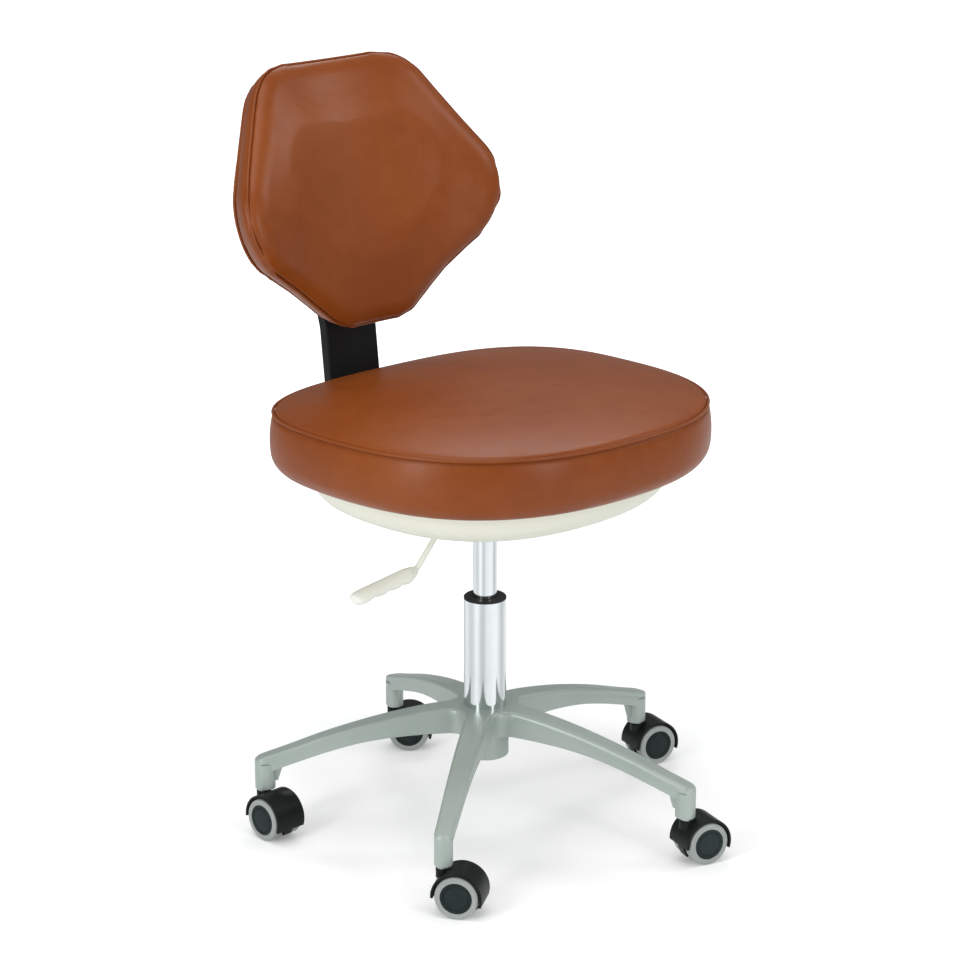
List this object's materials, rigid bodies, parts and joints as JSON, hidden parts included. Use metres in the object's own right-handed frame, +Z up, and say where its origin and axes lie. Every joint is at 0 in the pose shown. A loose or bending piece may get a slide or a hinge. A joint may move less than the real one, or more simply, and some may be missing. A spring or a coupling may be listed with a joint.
{
  "type": "dentist stool",
  "caption": "Height-adjustable dentist stool: five-arm caster base, gas-spring column, rounded upholstered seat with release lever, and a contoured backrest on a flat bar.",
  "frame": {"origin": "the column's axis at floor level", "axes": "+Z up; the sitter faces -Y and the backrest is at +Y; the release lever is at -X, the sitter's right"},
  "size_m": [0.5597, 0.5937, 0.8808],
  "materials": {
    "caster_black": "glossy moulded nylon",
    "steel": "zinc plated",
    "wheel_cap": "satin moulded",
    "tyre_grey": "soft grey polyurethane",
    "base_silver": "silver-grey powder coat on die-cast aluminium",
    "column_chrome": "polished chrome plate",
    "bush_black": "moulded",
    "mechanism_black": "black powder coat",
    "lever_cream": "cream coating on steel rod",
    "grip_cream": "moulded, satin",
    "cover_cream": "moulded, satin",
    "plywood": "sanded plywood",
    "tan_leather": "smooth semi-gloss tan upholstery",
    "bar_black": "black powder coat",
    "knob_black": "moulded",
    "bracket_black": "moulded"
  },
  "bodies": {
    "base": {"base_star": "base_silver", "caster_stems": "steel", "caster_grip_rings": "steel", "column_tube": "column_chrome", "guide_bush": "bush_black", "thrust_bearing": "steel"},
    "spindle": {"piston_rod": "steel", "retaining_clip": "steel"},
    "seat": {"gas_cylinder": "column_chrome", "cylinder_plugs": "bush_black", "seat_plate": "mechanism_black", "column_socket": "mechanism_black", "bar_channel": "mechanism_black", "lever_pin": "steel", "under_seat_cover": "cover_cream", "cover_screws": "steel", "seat_board": "plywood", "seat_cushion": "tan_leather", "seat_bolts": "steel"},
    "lever": {"lever_rod": "lever_cream", "lever_grip": "grip_cream"},
    "valve": {"valve_pin": "steel"},
    "backrest_bar": {"back_bar": "bar_black"},
    "depth_clamp": {"depth_knob": "knob_black"},
    "backrest": {"back_bracket": "bracket_black", "back_board": "plywood", "back_rear_panel": "tan_leather", "back_cushion": "tan_leather", "back_bolts": "steel"},
    "height_clamp": {"height_knob": "knob_black"},
    "caster_1": {"caster_1_hood": "caster_black", "caster_1_axle": "steel"},
    "caster_1_left_wheel": {"caster_1_left_hub": "wheel_cap", "caster_1_left_tyre": "tyre_grey"},
    "caster_1_right_wheel": {"caster_1_right_hub": "wheel_cap", "caster_1_right_tyre": "tyre_grey"},
    "caster_2": {"caster_2_hood": "caster_black", "caster_2_axle": "steel"},
    "caster_2_left_wheel": {"caster_2_left_hub": "wheel_cap", "caster_2_left_tyre": "tyre_grey"},
    "caster_2_right_wheel": {"caster_2_right_hub": "wheel_cap", "caster_2_right_tyre": "tyre_grey"},
    "caster_3": {"caster_3_hood": "caster_black", "caster_3_axle": "steel"},
    "caster_3_left_wheel": {"caster_3_left_hub": "wheel_cap", "caster_3_left_tyre": "tyre_grey"},
    "caster_3_right_wheel": {"caster_3_right_hub": "wheel_cap", "caster_3_right_tyre": "tyre_grey"},
    "caster_4": {"caster_4_hood": "caster_black", "caster_4_axle": "steel"},
    "caster_4_left_wheel": {"caster_4_left_hub": "wheel_cap", "caster_4_left_tyre": "tyre_grey"},
    "caster_4_right_wheel": {"caster_4_right_hub": "wheel_cap", "caster_4_right_tyre": "tyre_grey"},
    "caster_5": {"caster_5_hood": "caster_black", "caster_5_axle": "steel"},
    "caster_5_left_wheel": {"caster_5_left_hub": "wheel_cap", "caster_5_left_tyre": "tyre_grey"},
    "caster_5_right_wheel": {"caster_5_right_hub": "wheel_cap", "caster_5_right_tyre": "tyre_grey"}
  },
  "joints": [
    {"name": "seat_swivel", "type": "hinge", "parent": "base", "child": "spindle", "pos_m": [0, 0, 0.09], "axis": [0, 0, 1], "continuous": true},
    {"name": "seat_height", "type": "slide", "parent": "spindle", "child": "seat", "axis": [0, 0, 1], "range_m": [-0.11, 0.02]},
    {"name": "lever_lift", "type": "hinge", "parent": "seat", "child": "lever", "pos_m": [-0.026, 0, 0.4294], "axis": [0, 1, 0], "range_deg": [0, 8], "stiffness_Nm_per_rad": 4, "springref_deg": -5.73},
    {"name": "valve_press", "type": "slide", "parent": "seat", "child": "valve", "axis": [0, 0, 1], "range_m": [-0.0037, 0]},
    {"name": "backrest_depth", "type": "slide", "parent": "seat", "child": "backrest_bar", "axis": [0, 1, 0], "range_m": [-0.02, 0.025]},
    {"name": "depth_knob_turn", "type": "hinge", "parent": "seat", "child": "depth_clamp", "pos_m": [0, 0.135, 0.42], "axis": [0, 0, 1], "continuous": true},
    {"name": "backrest_height", "type": "slide", "parent": "backrest_bar", "child": "backrest", "axis": [0, 0.2756, 0.9613], "range_m": [-0.025, 0.045]},
    {"name": "height_knob_turn", "type": "hinge", "parent": "backrest", "child": "height_clamp", "pos_m": [0, 0.28798, 0.6783], "axis": [0, 0.9613, -0.2756], "continuous": true},
    {"name": "caster_1_swivel", "type": "hinge", "parent": "base", "child": "caster_1", "pos_m": [0.08127, -0.25013, 0.05], "axis": [0, 0, 1], "continuous": true},
    {"name": "caster_1_left_roll", "type": "hinge", "parent": "caster_1", "child": "caster_1_left_wheel", "pos_m": [0.09944, -0.25568, 0.025], "axis": [0.2924, 0.9563, 0], "continuous": true},
    {"name": "caster_1_right_roll", "type": "hinge", "parent": "caster_1", "child": "caster_1_right_wheel", "pos_m": [0.09944, -0.25568, 0.025], "axis": [0.2924, 0.9563, 0], "continuous": true},
    {"name": "caster_2_swivel", "type": "hinge", "parent": "base", "child": "caster_2", "pos_m": [0.263, 0, 0.05], "axis": [0, 0, 1], "continuous": true},
    {"name": "caster_2_left_roll", "type": "hinge", "parent": "caster_2", "child": "caster_2_left_wheel", "pos_m": [0.28126, -0.00524, 0.025], "axis": [0.2756, 0.9613, 0], "continuous": true},
    {"name": "caster_2_right_roll", "type": "hinge", "parent": "caster_2", "child": "caster_2_right_wheel", "pos_m": [0.28126, -0.00524, 0.025], "axis": [0.2756, 0.9613, 0], "continuous": true},
    {"name": "caster_3_swivel", "type": "hinge", "parent": "base", "child": "caster_3", "pos_m": [0.08127, 0.25013, 0.05], "axis": [0, 0, 1], "continuous": true},
    {"name": "caster_3_left_roll", "type": "hinge", "parent": "caster_3", "child": "caster_3_left_wheel", "pos_m": [0.09471, 0.23669, 0.025], "axis": [0.7071, 0.7071, 0], "continuous": true},
    {"name": "caster_3_right_roll", "type": "hinge", "parent": "caster_3", "child": "caster_3_right_wheel", "pos_m": [0.09471, 0.23669, 0.025], "axis": [0.7071, 0.7071, 0], "continuous": true},
    {"name": "caster_4_swivel", "type": "hinge", "parent": "base", "child": "caster_4", "pos_m": [-0.21277, 0.15459, 0.05], "axis": [0, 0, 1], "continuous": true},
    {"name": "caster_4_left_roll", "type": "hinge", "parent": "caster_4", "child": "caster_4_left_wheel", "pos_m": [-0.21244, 0.13559, 0.025], "axis": [0.9998, 0.0175, 0], "continuous": true},
    {"name": "caster_4_right_roll", "type": "hinge", "parent": "caster_4", "child": "caster_4_right_wheel", "pos_m": [-0.21244, 0.13559, 0.025], "axis": [0.9998, 0.0175, 0], "continuous": true},
    {"name": "caster_5_swivel", "type": "hinge", "parent": "base", "child": "caster_5", "pos_m": [-0.21277, -0.15459, 0.05], "axis": [0, 0, 1], "continuous": true},
    {"name": "caster_5_left_roll", "type": "hinge", "parent": "caster_5", "child": "caster_5_left_wheel", "pos_m": [-0.20242, -0.17052, 0.025], "axis": [0.8387, 0.5446, 0], "continuous": true},
    {"name": "caster_5_right_roll", "type": "hinge", "parent": "caster_5", "child": "caster_5_right_wheel", "pos_m": [-0.20242, -0.17052, 0.025], "axis": [0.8387, 0.5446, 0], "continuous": true}
  ],
  "couplings": [
    {"joint": "valve_press", "follows": "lever_lift", "m_per_rad": -0.026}
  ]
}
